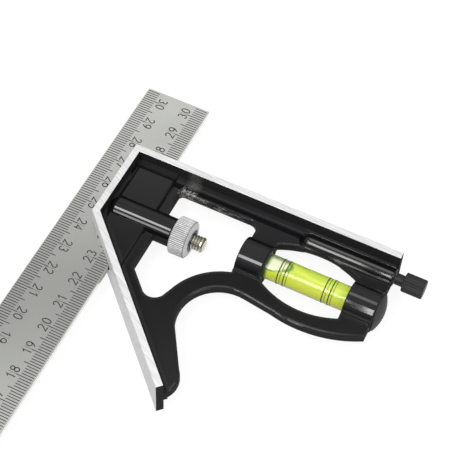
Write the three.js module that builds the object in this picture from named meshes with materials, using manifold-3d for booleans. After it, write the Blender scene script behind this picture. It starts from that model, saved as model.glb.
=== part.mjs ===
// Combination square: a steel rule that slides in a cast head with a 90 degree and a 45 degree face,
// a draw bolt that clamps the rule, a spirit level and a scriber.
// Sizes are in millimetres. X runs along the 90 degree face, Y along the rule and Z out of the head's side.
// Everything is drawn from X = 0 at the rule's working edge, Y = 0 at the 90 degree face and Z = 0 at
// mid-thickness. The finished square is then moved so that the middle of its 90 degree face is the origin.

import * as THREE from 'three';
import { mergeVertices } from 'three/addons/utils/BufferGeometryUtils.js';
import Module from 'manifold-3d';

const wasm = await Module();
wasm.setup();

// Steel rule
const rule_length = 305;
const rule_width = 24.5;
const rule_thickness = 2.2;
const rule_reach = 29.9;
const rule_edge_break = 0.15;
const groove_width = 2.6;
const groove_depth = 0.9;

// Head casting: the flange with the working faces
const head_length = 101;
const head_height = 15.7;
const rule_cover = 13.7;
const heel_length = 32;
const mitre_length = 71.8;
const mitre_angle = Math.PI / 4;
const flange_wall = 2.6;
const flange_edge_break = 0.15;
const root_fillet = 1.3;

// Head casting: the web, the panels over the rule's slot and the bands round the window
const web_thickness = 3.4;
const web_edge_round = 0.5;
const slot_skin = 1.85;
const panel_fillet = 0.85;
const slot_clearance = 0.25;
const panel_edge_slope = 0.35;
const seat_depth = 4;
const spine_width = 7.5;
const top_band = 7.35;
const mitre_band = 7.9;
const window_near_corner = 1.6;
const window_far_corner = 3.2;
const tip_relief = 0.1;

// Handle: the curved arm between the level and the tip of the 45 degree face.
// Places called along are measured on the 45 degree face from its heel, and those called behind are
// square to that face.
const window_foot_along = 32.2;
const window_turn_along = 35.7;
const window_turn_behind = 14.2;
const hump_along = 34.4;
const hump_behind = 17;
const hump_gap = 1.2;
const crook_along = 47.9;
const crook_behind = 14;
const tail_length = 7.4;
const tail_behind = 10.2;
const arm_end_depth = 4.4;
const belly_offset = 6.1;
const belly_drop = 16.15;
const neck_drop = 14.75;
const neck_offset = 1.4;

// How far each curve swells over its chord, as a share of the chord
const quarter_turn_share = 0.2071;
const window_turn_share = 0.278;
const window_hump_share = 0.1226;
const belly_share = 0.095;
const crook_share = 0.3;
const tail_share = 0.1955;
const sight_top_share = 0.1258;
const sight_low_share = 0.1352;

// How far the bubble's middle lies from the left boss, as a share of the bubble's length
const bubble_middle_share = 0.25;

// Draw bolt and knurled nut
const clamp_drop = 23.1;
const clamp_boss_radius = 5.2;
const clamp_boss_reach = 13.2;
const clamp_boss_heel_gap = 0.9;
const clamp_boss_heel_round = 1.5;
const bolt_radius = 2.8;
const bolt_clearance = 0.2;
const bolt_shoulder = 1.2;
const bolt_stand = 4.2;
const bolt_end_chamfer = 0.6;
const thread_pitch = 1;
const thread_depth = 0.35;
const lug_width = 1.2;
const lug_length = 3.8;
const nut_radius = 6.8;
const nut_length = 6.8;
const nut_bevel = 0.4;
const nut_crown = 0.9;
const nut_crown_radius = 6.4;
const nut_ridges = 60;
const nut_ridge_depth = 0.22;
const spring_wire = 0.6;
const spring_curls = 5;
const spring_pocket_depth = 6.9;
const spring_pocket_radius = 4.2;

// Spirit level
const vial_drop = 20.5;
const vial_radius = 4.5;
const vial_wall = 1.1;
const vial_end_wall = 1.2;
const vial_boss_drop = 20.9;
const vial_boss_radius = 7.15;
const nut_room = 13.05;
const left_boss_length = 9.4;
const left_boss_wall = 2;
const right_boss_length = 10.65;
const boss_edge_round = 0.4;
const boss_fillet = 0.6;
const sight_top_rise = 8.5;
const sight_low_left_drop = 6.4;
const sight_low_right_drop = 8.8;
const packing_length = 5;
const packing_wall = 0.4;
const stopper_length = 2.6;
const liquid_gap = 0.1;
const bubble_length = 12;
const bubble_width = 5.6;
const bubble_depth = 1.8;
const plug_radius = 6.65;
const plug_spigot = 1.9;
const plug_rim = 0.4;
const plug_crown = 1.8;

// Scriber
const scriber_drop = 5.45;
const needle_radius = 1;
const needle_point = 7;
const needle_clearance = 0.2;
const needle_end_wall = 4.7;
const needle_socket_share = 0.65;
const knob_radius = 3.4;
const knob_length = 7.4;
const knob_bevel = 0.2;
const knob_ridges = 26;
const knob_ridge_depth = 0.18;
const neck_radius = 2.05;
const neck_length = 3;
const bushing_length = 7;
const bushing_wall = 0.65;
const ridge_radius = 3.2;
const ridge_length = 33.7;
const ridge_end_round = 2;
const ridge_moat = 0.9;
const ridge_moat_depth = 0.7;

// Shared by several pieces
const seat_gap = 0.3;
const snug_gap = 0.15;
const overrun = 5;
const round_sides = 48;
const small_sides = 24;
const curve_steps = 8;
const edge_steps = 2;
const wire_sides = 5;
const curl_steps = 8;

// Places worked out from the sizes
const head_left = -rule_cover;
const head_right = head_left + head_length;
const head_middle = (head_left + head_right) / 2;
const half_height = head_height / 2;
const half_web = web_thickness / 2;
const half_rule = rule_thickness / 2;
const half_slot = half_rule + slot_clearance;
const half_panel = half_slot + slot_skin;
const half_wall = flange_wall / 2;
const mitre_run = new THREE.Vector2(Math.cos(mitre_angle), -Math.sin(mitre_angle));
const mitre_inward = new THREE.Vector2(Math.sin(mitre_angle), Math.cos(mitre_angle));

const clamp_y = -clamp_drop;
const nut_start = clamp_boss_reach + seat_gap;
const nut_end = nut_start + nut_length;
const bolt_end = nut_end + bolt_stand;
const bolt_bore = bolt_radius + bolt_clearance;
const groove_middle = -rule_width / 2;
const lug_right = groove_middle + groove_width / 2 - seat_gap;
const lug_left = lug_right - lug_width;
const spring_pocket_start = clamp_boss_reach - spring_pocket_depth;

const vial_y = -vial_drop;
const vial_boss_y = -vial_boss_drop;
const left_boss_start = bolt_end + nut_room;
const sight_start = left_boss_start + left_boss_length;
const sight_end = head_right - right_boss_length;
const sight_middle = (sight_start + sight_end) / 2;
const vial_start = left_boss_start + left_boss_wall + seat_gap;
const vial_end = head_right - plug_spigot - seat_gap;
const vial_bore = vial_radius - vial_wall;
const packing_bore = vial_radius + snug_gap;
const packing_radius = packing_bore + packing_wall;
const boss_bore = packing_radius + snug_gap;
const plug_start = head_right - plug_spigot;
const plug_seat = head_right + snug_gap;

const scriber_y = -scriber_drop;
const ridge_start = head_right - ridge_length;
const neck_start = head_right + seat_gap;
const knob_start = neck_start + neck_length;
const knob_end = knob_start + knob_length;
const needle_bore = needle_radius + needle_clearance;
const needle_start = ridge_start + needle_end_wall;
const needle_end = knob_start + knob_length * needle_socket_share;
const bushing_start = head_right - bushing_length;
const bushing_radius = needle_bore + bushing_wall;

// Turns a closed three.js geometry into a solid that can be joined and cut.
function solid(geometry) {
  const bare = geometry.clone();
  bare.deleteAttribute('normal');
  bare.deleteAttribute('uv');
  const merged = mergeVertices(bare);
  const corners = merged.index.array;
  const triangles = [];
  for (let i = 0; i < corners.length; i += 3) {
    const [a, b, c] = [corners[i], corners[i + 1], corners[i + 2]];
    if (a !== b && b !== c && c !== a) triangles.push(a, b, c);
  }
  const mesh = new wasm.Mesh({
    numProp: 3,
    vertProperties: merged.attributes.position.array,
    triVerts: new Uint32Array(triangles),
  });
  return new wasm.Manifold(mesh);
}

// Turns a solid back into a geometry.
function surface(body) {
  const mesh = body.getMesh();
  const geometry = new THREE.BufferGeometry();
  geometry.setAttribute('position', new THREE.BufferAttribute(mesh.vertProperties, 3));
  geometry.setIndex(new THREE.BufferAttribute(mesh.triVerts, 1));
  geometry.computeVertexNormals();
  return geometry;
}

// A flat plate of the given outline between two heights, with its edges rounded, or sloped in one step.
function plate(outline, low, high, edge, steps = edge_steps) {
  const geometry = new THREE.ExtrudeGeometry(outline, {
    depth: high - low - 2 * edge,
    steps: 1,
    curveSegments: curve_steps,
    bevelEnabled: edge > 0,
    bevelThickness: edge,
    bevelSize: edge,
    bevelOffset: -edge,
    bevelSegments: steps,
  });
  geometry.translate(0, 0, low + edge);
  return solid(geometry);
}

// A box between two corners.
function block(x_low, x_high, y_low, y_high, z_low, z_high) {
  const geometry = new THREE.BoxGeometry(x_high - x_low, y_high - y_low, z_high - z_low);
  geometry.translate((x_low + x_high) / 2, (y_low + y_high) / 2, (z_low + z_high) / 2);
  return solid(geometry);
}

// A body turned about a line along X at height y. The profile lists [x, radius] and either starts and ends
// on the line or closes on itself, as a ring does.
function turned(profile, y, sides = round_sides) {
  const points = profile.map(([x, radius]) => new THREE.Vector2(radius, x));
  const geometry = new THREE.LatheGeometry(points, sides);
  geometry.rotateZ(-Math.PI / 2);
  geometry.translate(0, y, 0);
  return solid(geometry);
}

// A plain round bar along X.
function bar(x_low, x_high, radius, y, sides = round_sides) {
  return turned([[x_low, 0], [x_low, radius], [x_high, radius], [x_high, 0]], y, sides);
}

// A ring along X with an inner and an outer radius.
function sleeve(x_low, x_high, inner, outer, y, sides = round_sides) {
  const profile = [[x_low, inner], [x_low, outer], [x_high, outer], [x_high, inner], [x_low, inner]];
  return turned(profile, y, sides);
}

// The quarter round at an end of a turned body, from the flat end at x to the full radius or back.
// way is 1 on an end that faces -X and -1 on an end that faces +X.
function rounded_end(x, radius, round, way) {
  const points = [];
  const steps = 2 * edge_steps;
  for (let step = 0; step <= steps; step += 1) {
    const turn = (step / steps) * (Math.PI / 2);
    points.push([x + way * round * (1 - Math.cos(turn)), radius - round + round * Math.sin(turn)]);
  }
  return way > 0 ? points : points.reverse();
}

// The domed end of a turned body: an arc from the full radius at x to the axis, at the crown's height.
function domed_end(x, radius, crown) {
  const sphere = (radius ** 2 + crown ** 2) / (2 * crown);
  const half_turn = Math.asin(radius / sphere);
  const points = [];
  for (let step = curve_steps; step > 0; step -= 1) {
    const turn = (step / curve_steps) * half_turn;
    points.push([x + crown - sphere + sphere * Math.cos(turn), sphere * Math.sin(turn)]);
  }
  return [...points, [x + crown, 0]];
}

// A round boss along X with both of its ends rounded.
function boss(x_low, x_high, radius, low_round, high_round, y) {
  const low_end = rounded_end(x_low, radius, low_round, 1);
  const high_end = rounded_end(x_high, radius, high_round, -1);
  return turned([[x_low, 0], ...low_end, ...high_end, [x_high, 0]], y);
}

// A round, ridged prism along X with its ends bevelled, as a knurled knob or nut has.
function knurled(x_low, x_high, radius, ridges, ridge_depth, bevel, y) {
  const outline = new THREE.Shape();
  const points = [];
  for (let i = 0; i < 2 * ridges; i += 1) {
    const angle = (i / ridges) * Math.PI;
    const reach = i % 2 === 0 ? radius : radius - ridge_depth;
    points.push(new THREE.Vector2(reach * Math.cos(angle), reach * Math.sin(angle)));
  }
  outline.setFromPoints(points);
  const geometry = surface(plate(outline, x_low, x_high, bevel, 1));
  geometry.rotateY(Math.PI / 2);
  geometry.translate(0, y, 0);
  return solid(geometry);
}

// Adds an arc from the path's last point to (x, y). rise_share is the arc's height over its chord as a
// share of the chord, positive where the arc swells to the left of the way it is drawn.
function arc_to(path, x, y, rise_share) {
  const from = path.currentPoint.clone();
  const chord = Math.hypot(x - from.x, y - from.y);
  const half_turn = 2 * Math.atan(2 * Math.abs(rise_share));
  const radius = chord / (2 * Math.sin(half_turn));
  const lean = Math.sign(rise_share) * radius * Math.cos(half_turn) / chord;
  const centre_x = (from.x + x) / 2 + (y - from.y) * lean;
  const centre_y = (from.y + y) / 2 - (x - from.x) * lean;
  const first = Math.atan2(from.y - centre_y, from.x - centre_x);
  const last = Math.atan2(y - centre_y, x - centre_x);
  path.absarc(centre_x, centre_y, radius, first, last, rise_share > 0);
}

// The point at a distance along the 45 degree face from its heel, and at a depth behind that face.
function behind_mitre(along, depth) {
  const point = new THREE.Vector2(head_left, -heel_length);
  return point.addScaledVector(mitre_run, along).addScaledVector(mitre_inward, depth);
}

// The height, at a given X, of the line that lies behind the 45 degree face by a depth.
function mitre_line_y(x, depth) {
  const on_line = behind_mitre(0, depth);
  return on_line.y - (x - on_line.x) * Math.tan(mitre_angle);
}

// The outline of the three flange walls at a given wall thickness.
function flange_outline(wall) {
  const tip = behind_mitre(mitre_length, 0);
  const tip_inside = behind_mitre(mitre_length, wall);
  const outline = new THREE.Shape();
  outline.moveTo(head_right, 0);
  outline.lineTo(head_left, 0);
  outline.lineTo(head_left, -heel_length);
  outline.lineTo(tip.x, tip.y);
  outline.lineTo(tip_inside.x, tip_inside.y);
  outline.lineTo(head_left + wall, mitre_line_y(head_left + wall, wall));
  outline.lineTo(head_left + wall, -wall);
  outline.lineTo(head_right, -wall);
  return outline;
}

// The window between the rule's seat, the level and the handle.
function window_outline() {
  const foot = behind_mitre(window_foot_along, mitre_band);
  const turn = behind_mitre(window_turn_along, window_turn_behind);
  const hump = behind_mitre(hump_along, hump_behind);
  const outline = new THREE.Path();
  outline.moveTo(spine_width, mitre_line_y(spine_width, mitre_band));
  outline.lineTo(foot.x, foot.y);
  arc_to(outline, turn.x, turn.y, -window_turn_share);
  outline.lineTo(hump.x, hump.y);
  arc_to(outline, left_boss_start, vial_boss_y - vial_boss_radius - hump_gap, window_hump_share);
  outline.lineTo(left_boss_start, -top_band - window_far_corner);
  arc_to(outline, left_boss_start - window_far_corner, -top_band, -quarter_turn_share);
  outline.lineTo(spine_width + window_near_corner, -top_band);
  arc_to(outline, spine_width, -top_band - window_near_corner, -quarter_turn_share);
  return outline;
}

// The opening that shows the level.
function sight_outline() {
  const outline = new THREE.Path();
  outline.moveTo(sight_start, vial_boss_y - sight_low_left_drop);
  arc_to(outline, sight_end, vial_boss_y - sight_low_right_drop, -sight_low_share);
  outline.lineTo(sight_end, vial_boss_y + sight_top_rise);
  arc_to(outline, sight_start, vial_boss_y + sight_top_rise, -sight_top_share);
  return outline;
}

// The web's outline, from the flange round the handle's outer side to the tip of the 45 degree face.
function web_outline() {
  const crook = behind_mitre(crook_along, crook_behind);
  const tail = behind_mitre(mitre_length - tail_length, tail_behind);
  const tail_end = behind_mitre(mitre_length - tip_relief, flange_wall);
  const tip = behind_mitre(mitre_length - tip_relief, half_wall);
  const left = head_left + half_wall;
  const outline = new THREE.Shape();
  outline.moveTo(head_right, -half_wall);
  outline.lineTo(head_right, vial_boss_y - vial_boss_radius - arm_end_depth);
  arc_to(outline, sight_middle - belly_offset, vial_boss_y - belly_drop, belly_share);
  outline.lineTo(sight_start - neck_offset, vial_boss_y - neck_drop);
  arc_to(outline, crook.x, crook.y, -crook_share);
  outline.lineTo(tail.x, tail.y);
  arc_to(outline, tail_end.x, tail_end.y, tail_share);
  outline.lineTo(tip.x, tip.y);
  outline.lineTo(left, mitre_line_y(left, half_wall));
  outline.lineTo(left, -half_wall);
  outline.holes.push(window_outline(), sight_outline());
  return outline;
}

// The thicker panel on each side of the rule's slot.
function panel_outline() {
  const left = head_left + half_wall;
  const outline = new THREE.Shape();
  outline.moveTo(seat_depth, -half_wall);
  outline.lineTo(left, -half_wall);
  outline.lineTo(left, mitre_line_y(left, half_wall));
  outline.lineTo(seat_depth, mitre_line_y(seat_depth, half_wall));
  return outline;
}

// The moat that sets the scriber's ridge off from the web, cut from one side of the web.
function moat(side) {
  const reach = ridge_radius + ridge_moat;
  const floor = side * (half_web - ridge_moat_depth);
  const middle = ridge_start - ridge_moat + reach;
  const outline = new THREE.Shape();
  outline.moveTo(middle, scriber_y + reach);
  outline.absarc(middle, scriber_y, reach, Math.PI / 2, 3 * Math.PI / 2, false);
  outline.lineTo(head_right + overrun, scriber_y - reach);
  outline.lineTo(head_right + overrun, scriber_y + reach);
  const far = side * (half_web + overrun);
  return plate(outline, Math.min(floor, far), Math.max(floor, far), 0);
}

// The bore for the draw bolt: round in the boss, and only its lower half under the rule, out to the
// head's left side, so that the bolt's tongue can pass.
function bolt_passage() {
  const round_part = bar(0, clamp_boss_reach + overrun, bolt_bore, clamp_y);
  const under_rule = bar(head_left - overrun, seat_depth / 2, bolt_bore, clamp_y);
  const lower_half = block(head_left - overrun, seat_depth,
    clamp_y - overrun, clamp_y + overrun, -overrun, 0);
  const pocket = bar(spring_pocket_start, clamp_boss_reach + overrun, spring_pocket_radius, clamp_y);
  return round_part.add(under_rule.intersect(lower_half)).add(pocket);
}

// The clamp's boss. Behind the rule it runs on into the flange, and on the front its heel stops short of it.
function clamp_boss() {
  const heel = head_left + flange_wall + clamp_boss_heel_gap;
  const front = boss(heel, clamp_boss_reach, clamp_boss_radius,
    clamp_boss_heel_round, boss_edge_round, clamp_y);
  const left = head_left + half_wall;
  const reach = clamp_boss_radius + overrun;
  const back = bar(left, 0, clamp_boss_radius, clamp_y);
  return front.add(back.intersect(block(left, 0, clamp_y - reach, clamp_y + reach, -reach, -half_slot)));
}

// A boss for one end of the level, with the fillets where it grows out of the web.
function vial_boss(x_low, x_high) {
  const foot = half_web + boss_fillet;
  const reach = Math.sqrt(vial_boss_radius ** 2 - half_web ** 2) + boss_fillet;
  const outline = new THREE.Shape();
  outline.moveTo(x_low, vial_boss_y - reach);
  outline.lineTo(x_high, vial_boss_y - reach);
  outline.lineTo(x_high, vial_boss_y + reach);
  outline.lineTo(x_low, vial_boss_y + reach);
  return boss(x_low, x_high, vial_boss_radius, boss_edge_round, boss_edge_round, vial_boss_y)
    .add(plate(outline, -foot, foot, boss_fillet, 1));
}

// The sloped fillet at the root of the flange walls, on a face at the given height.
function root_band(height, fillet) {
  return plate(flange_outline(flange_wall + fillet), -height - fillet, height + fillet, fillet, 1);
}

// The head in one casting.
function head_body() {
  const web = plate(web_outline(), -half_web, half_web, web_edge_round)
    .subtract(moat(1))
    .subtract(moat(-1));
  const panel_zone = plate(panel_outline(), -half_height, half_height, 0);
  const depth_of_cut = mitre_length + heel_length + overrun;
  return plate(flange_outline(flange_wall), -half_height, half_height, flange_edge_break, 1)
    .add(root_band(half_web, root_fillet))
    .add(web)
    .add(plate(panel_outline(), -half_panel, half_panel, panel_edge_slope, 1))
    .add(root_band(half_panel, panel_fillet).intersect(panel_zone))
    .add(clamp_boss())
    .add(vial_boss(left_boss_start, sight_start))
    .add(vial_boss(sight_end, head_right))
    .add(boss(ridge_start, head_right, ridge_radius, ridge_end_round, boss_edge_round, scriber_y))
    .subtract(block(head_left - overrun, slot_clearance, -depth_of_cut, overrun, -half_slot, half_slot))
    .subtract(bolt_passage())
    .subtract(bar(vial_start - seat_gap, sight_start + overrun, boss_bore, vial_y))
    .subtract(bar(sight_end - overrun, head_right + overrun, boss_bore, vial_y))
    .subtract(bar(needle_start - seat_gap, head_right + overrun, needle_bore, scriber_y, small_sides))
    .subtract(bar(bushing_start - snug_gap, head_right + overrun, bushing_radius + snug_gap, scriber_y));
}

// The rule, with the groove for the clamp along the middle of its back.
function rule_body() {
  const low_y = rule_reach - rule_length;
  const outline = new THREE.Shape();
  outline.moveTo(-rule_width, low_y);
  outline.lineTo(0, low_y);
  outline.lineTo(0, rule_reach);
  outline.lineTo(-rule_width, rule_reach);
  const groove_left = groove_middle - groove_width / 2;
  const groove_top = groove_depth - half_rule;
  const groove = block(groove_left, groove_left + groove_width,
    low_y - overrun, rule_reach + overrun, -half_rule - overrun, groove_top);
  return plate(outline, -half_rule, half_rule, rule_edge_break, 1).subtract(groove);
}

// The draw bolt: a threaded shank, a flat tongue that passes behind the rule, and the lug at its end
// that pulls on the side of the rule's groove.
function bolt_body() {
  const profile = [[bolt_shoulder, 0], [bolt_shoulder, bolt_radius], [nut_start, bolt_radius]];
  const threads = Math.floor((bolt_end - bolt_end_chamfer - nut_start) / thread_pitch);
  for (let i = 0; i < threads; i += 1) {
    const crest = nut_start + (i + 1) * thread_pitch;
    profile.push([crest - thread_pitch / 2, bolt_radius - thread_depth]);
    profile.push([crest, bolt_radius]);
  }
  profile.push([bolt_end - bolt_end_chamfer, bolt_radius]);
  profile.push([bolt_end, bolt_radius - bolt_end_chamfer]);
  profile.push([bolt_end, 0]);
  const tongue = bar(lug_left, bolt_shoulder + seat_gap, bolt_radius, clamp_y, small_sides);
  const side = bolt_radius + overrun;
  const below = block(lug_left - overrun, bolt_shoulder + overrun,
    clamp_y - side, clamp_y + side, -side, -half_slot);
  const lug_top = groove_depth - half_rule - slot_clearance;
  const lug_low = -(half_slot + bolt_radius) / 2;
  const lug = block(lug_left, lug_right,
    clamp_y - lug_length / 2, clamp_y + lug_length / 2, lug_low, lug_top);
  return turned(profile, clamp_y, small_sides).add(tongue.intersect(below)).add(lug);
}

// The knurled nut, with its threaded hole and its crowned outer face.
function nut_body() {
  const hole = bar(nut_start - overrun, nut_end + overrun, bolt_bore, clamp_y, small_sides);
  const knurl_end = nut_end - nut_crown;
  const crown = turned([
    [knurl_end - nut_bevel, 0],
    [knurl_end - nut_bevel, nut_crown_radius],
    ...domed_end(knurl_end, nut_crown_radius, nut_crown),
  ], clamp_y);
  return knurled(nut_start, knurl_end, nut_radius, nut_ridges, nut_ridge_depth, nut_bevel, clamp_y)
    .add(crown)
    .subtract(hole);
}

// The line that the spring's wire follows round the bolt.
class Coil extends THREE.Curve {
  constructor(start, length, radius, curls, y) {
    super();
    Object.assign(this, { start, length, radius, curls, y });
  }

  getPoint(share, target = new THREE.Vector3()) {
    const angle = share * this.curls * 2 * Math.PI;
    const x = this.start + share * this.length;
    return target.set(x, this.y + this.radius * Math.cos(angle), this.radius * Math.sin(angle));
  }
}

// The least distance between the wires of neighbouring curls, less one wire.
function least_gap(coil, wire) {
  const steps = coil.curls * curl_steps;
  const points = coil.getPoints(steps);
  let gap = Infinity;
  for (let i = 0; i <= steps; i += 1) {
    for (let j = i + curl_steps / 2; j <= steps; j += 1) {
      gap = Math.min(gap, points[i].distanceTo(points[j]) - wire);
    }
  }
  return gap;
}

// The spring between the clamp's boss and the nut.
function spring_body() {
  const start = spring_pocket_start + seat_gap + spring_wire / 2;
  const end = nut_start - seat_gap - spring_wire / 2;
  const radius = (bolt_bore + spring_pocket_radius) / 2;
  const coil = new Coil(start, end - start, radius, spring_curls, clamp_y);
  console.log('spring: least gap to itself', least_gap(coil, spring_wire).toFixed(2), 'mm');
  const wire = new THREE.Shape();
  const corners = [];
  for (let i = 0; i < wire_sides; i += 1) {
    const angle = (i / wire_sides) * 2 * Math.PI;
    corners.push(new THREE.Vector2(Math.cos(angle), Math.sin(angle)).multiplyScalar(spring_wire / 2));
  }
  wire.setFromPoints(corners);
  const steps = spring_curls * curl_steps;
  return solid(new THREE.ExtrudeGeometry(wire, { steps, bevelEnabled: false, extrudePath: coil }));
}

// The level's tube, closed at its left end.
function vial_body() {
  const tube = bar(vial_start, vial_end, vial_radius, vial_y);
  return tube.subtract(bar(vial_start + vial_end_wall, vial_end + overrun, vial_bore, vial_y));
}

// The liquid in the tube, short of the bubble at the top of its left end.
function liquid_body() {
  const start = vial_start + vial_end_wall + liquid_gap;
  const end = vial_end - stopper_length - liquid_gap;
  const radius = vial_bore - liquid_gap;
  const bubble = new THREE.SphereGeometry(1, small_sides, small_sides / 2);
  bubble.scale(bubble_length / 2, bubble_width / 2, bubble_depth);
  bubble.translate(sight_start + bubble_length * bubble_middle_share, vial_y, radius);
  return bar(start, end, radius, vial_y).subtract(solid(bubble));
}

// The stopper that seals the tube's open end.
function stopper_body() {
  return bar(vial_end - stopper_length, vial_end, vial_bore - liquid_gap, vial_y);
}

// The packing that beds the tube in one of its bosses.
function packing_body(x_low) {
  return sleeve(x_low, x_low + packing_length, packing_bore, packing_radius, vial_y);
}

// The plug that closes the right boss: a spigot in the bore and a domed cap on the boss's end.
function plug_body() {
  const spigot = boss_bore - snug_gap;
  return turned([
    [plug_start, 0],
    [plug_start, spigot],
    [plug_seat, spigot],
    [plug_seat, plug_radius],
    ...domed_end(plug_seat + plug_rim, plug_radius, plug_crown),
  ], vial_y);
}

// The sleeve that holds the needle by friction.
function bushing_body() {
  return sleeve(bushing_start, head_right, needle_bore, bushing_radius, scriber_y, small_sides);
}

// The scriber's needle.
function needle_body() {
  return turned([
    [needle_start, 0],
    [needle_start + needle_point, needle_radius],
    [needle_end, needle_radius],
    [needle_end, 0],
  ], scriber_y, small_sides);
}

// The scriber's knob, with its neck and the socket for the needle.
function knob_body() {
  const neck = bar(neck_start, knob_start + knob_bevel, neck_radius, scriber_y);
  const socket = bar(neck_start - overrun, needle_end + seat_gap, needle_bore, scriber_y, small_sides);
  return knurled(knob_start, knob_end, knob_radius, knob_ridges, knob_ridge_depth, knob_bevel, scriber_y)
    .add(neck)
    .subtract(socket);
}

const finishes = {
  black_paint: { color: 0x17181a, roughness: 0.3, metalness: 0.1 },
  satin_steel: { color: 0xb9bab8, roughness: 0.4, metalness: 0.9 },
  bright_steel: { color: 0xd6d7d6, roughness: 0.25, metalness: 1 },
  spring_steel: { color: 0x8d8f92, roughness: 0.35, metalness: 1 },
  clear_acrylic: { color: 0xe8f2d8, roughness: 0.05, metalness: 0, transparent: true, opacity: 0.35 },
  green_liquid: { color: 0xcfe83a, roughness: 0.1, metalness: 0 },
  white_packing: { color: 0xd9d9d2, roughness: 0.8, metalness: 0 },
  black_plastic: { color: 0x26272a, roughness: 0.45, metalness: 0 },
  brass: { color: 0xb08d46, roughness: 0.35, metalness: 1 },
};

const square = new THREE.Group();
square.position.x = -head_middle;

function add_piece(name, body, finish) {
  const mesh = new THREE.Mesh(surface(body), new THREE.MeshStandardMaterial(finishes[finish]));
  mesh.name = name;
  square.add(mesh);
}

add_piece('square_head', head_body(), 'black_paint');
add_piece('steel_rule', rule_body(), 'satin_steel');
add_piece('clamp_bolt', bolt_body(), 'bright_steel');
add_piece('clamp_nut', nut_body(), 'bright_steel');
add_piece('clamp_spring', spring_body(), 'spring_steel');
add_piece('vial_tube', vial_body(), 'clear_acrylic');
add_piece('vial_liquid', liquid_body(), 'green_liquid');
add_piece('vial_stopper', stopper_body(), 'black_plastic');
add_piece('vial_packing_left', packing_body(sight_start - seat_gap - packing_length), 'white_packing');
add_piece('vial_packing_right', packing_body(sight_end + seat_gap), 'white_packing');
add_piece('vial_end_plug', plug_body(), 'black_plastic');
add_piece('scriber_bushing', bushing_body(), 'brass');
add_piece('scriber_needle', needle_body(), 'bright_steel');
add_piece('scriber_knob', knob_body(), 'black_plastic');

export default square;
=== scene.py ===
"""Combination square: finishes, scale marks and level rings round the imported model, with camera and light.

Lengths are in metres in the model's frame: X runs along the 90 degree face, Y along the rule and Z out of
the face that carries the photographed side of the scale.
"""

import math

import bmesh
import bpy
from mathutils import Matrix, Vector


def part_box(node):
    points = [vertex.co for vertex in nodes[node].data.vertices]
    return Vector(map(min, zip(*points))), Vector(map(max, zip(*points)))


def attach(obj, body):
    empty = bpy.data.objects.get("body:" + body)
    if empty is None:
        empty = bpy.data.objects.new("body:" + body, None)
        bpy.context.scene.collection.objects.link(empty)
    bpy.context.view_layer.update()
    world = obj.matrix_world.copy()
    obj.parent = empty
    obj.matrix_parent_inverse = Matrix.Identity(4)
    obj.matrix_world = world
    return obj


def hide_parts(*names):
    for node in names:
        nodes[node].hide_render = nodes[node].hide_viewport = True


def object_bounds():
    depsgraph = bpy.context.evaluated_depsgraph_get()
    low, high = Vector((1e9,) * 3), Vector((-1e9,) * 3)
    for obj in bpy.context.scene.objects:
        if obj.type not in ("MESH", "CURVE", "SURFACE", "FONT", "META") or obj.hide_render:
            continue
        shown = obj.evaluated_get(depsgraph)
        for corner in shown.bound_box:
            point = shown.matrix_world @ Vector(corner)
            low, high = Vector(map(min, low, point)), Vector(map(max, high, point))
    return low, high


MM = 0.001

# Camera, as solved from the scale's marks
FRAME_WIDTH = 449
FRAME_HEIGHT = 469
FOCAL_PIXELS = 1422.0
SENSOR = 36.0
CAMERA_AZIMUTH = math.radians(23.514)
CAMERA_ELEVATION = math.radians(55.06)
CAMERA_ROLL = math.radians(3.061)
CAMERA_DISTANCE = 486.17 * MM
CAMERA_TARGET = Vector((-8.302, -15.676, 0.0)) * MM
NEAR_CLIP = 0.01
FAR_CLIP = 20.0

# Scale marks: distances are measured inwards from the rule's edge
MARK_HEIGHT = 0.012 * MM
MARK_SINK = 0.01 * MM
TICK_WIDTH = 0.3 * MM
HAIRLINE_WIDTH = 0.1 * MM
TICK_START = 0.4 * MM
MILLIMETRE_TICK_END = 4.9 * MM
FIVE_TICK_END = 6.5 * MM
CENTIMETRE_TICK_END = 9.4 * MM
FIGURE_FOOT = 6.1 * MM
FIGURE_HEIGHT = 3.1 * MM
FIGURE_WIDTH = 1.5 * MM
FIGURE_STROKE = 0.38 * MM
FIGURE_GAP = 0.65 * MM
FIGURE_ARC_STEP = math.radians(15)
SHARPEST_MITRE = 0.5
CLOSING_SHARE = 0.1

# Level rings: places along X from the left end of the tube's visible stretch
RING_WIDTH = 0.3 * MM
RING_HEIGHT = 0.03 * MM
SIGHT_START = 10.15 * MM
SIGHT_LENGTH = 30.0 * MM
SIGHT_MIDDLE = SIGHT_START + SIGHT_LENGTH / 2
RING_OFFSETS = [5.25 * MM, 7.45 * MM, 21.65 * MM, 23.85 * MM]
RING_SHADOW_STEP = 0.95 * MM
RING_SHADOW_WIDTH = 0.2 * MM

# Level: the liquid is seen swollen by the tube to nearly the tube's own width
LIQUID_INSET = 0.12 * MM
LIQUID_STEPS = 80
TUBE_WALL = 0.1 * MM
TUBE_STEPS = 24
LEVEL_SIDES = 96
BUBBLE_START = 8.5 * MM
BUBBLE_LENGTH = 10.5 * MM
BUBBLE_HALF_ANGLE = math.radians(52)
BUBBLE_DEPTH = 0.15 * MM

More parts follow.
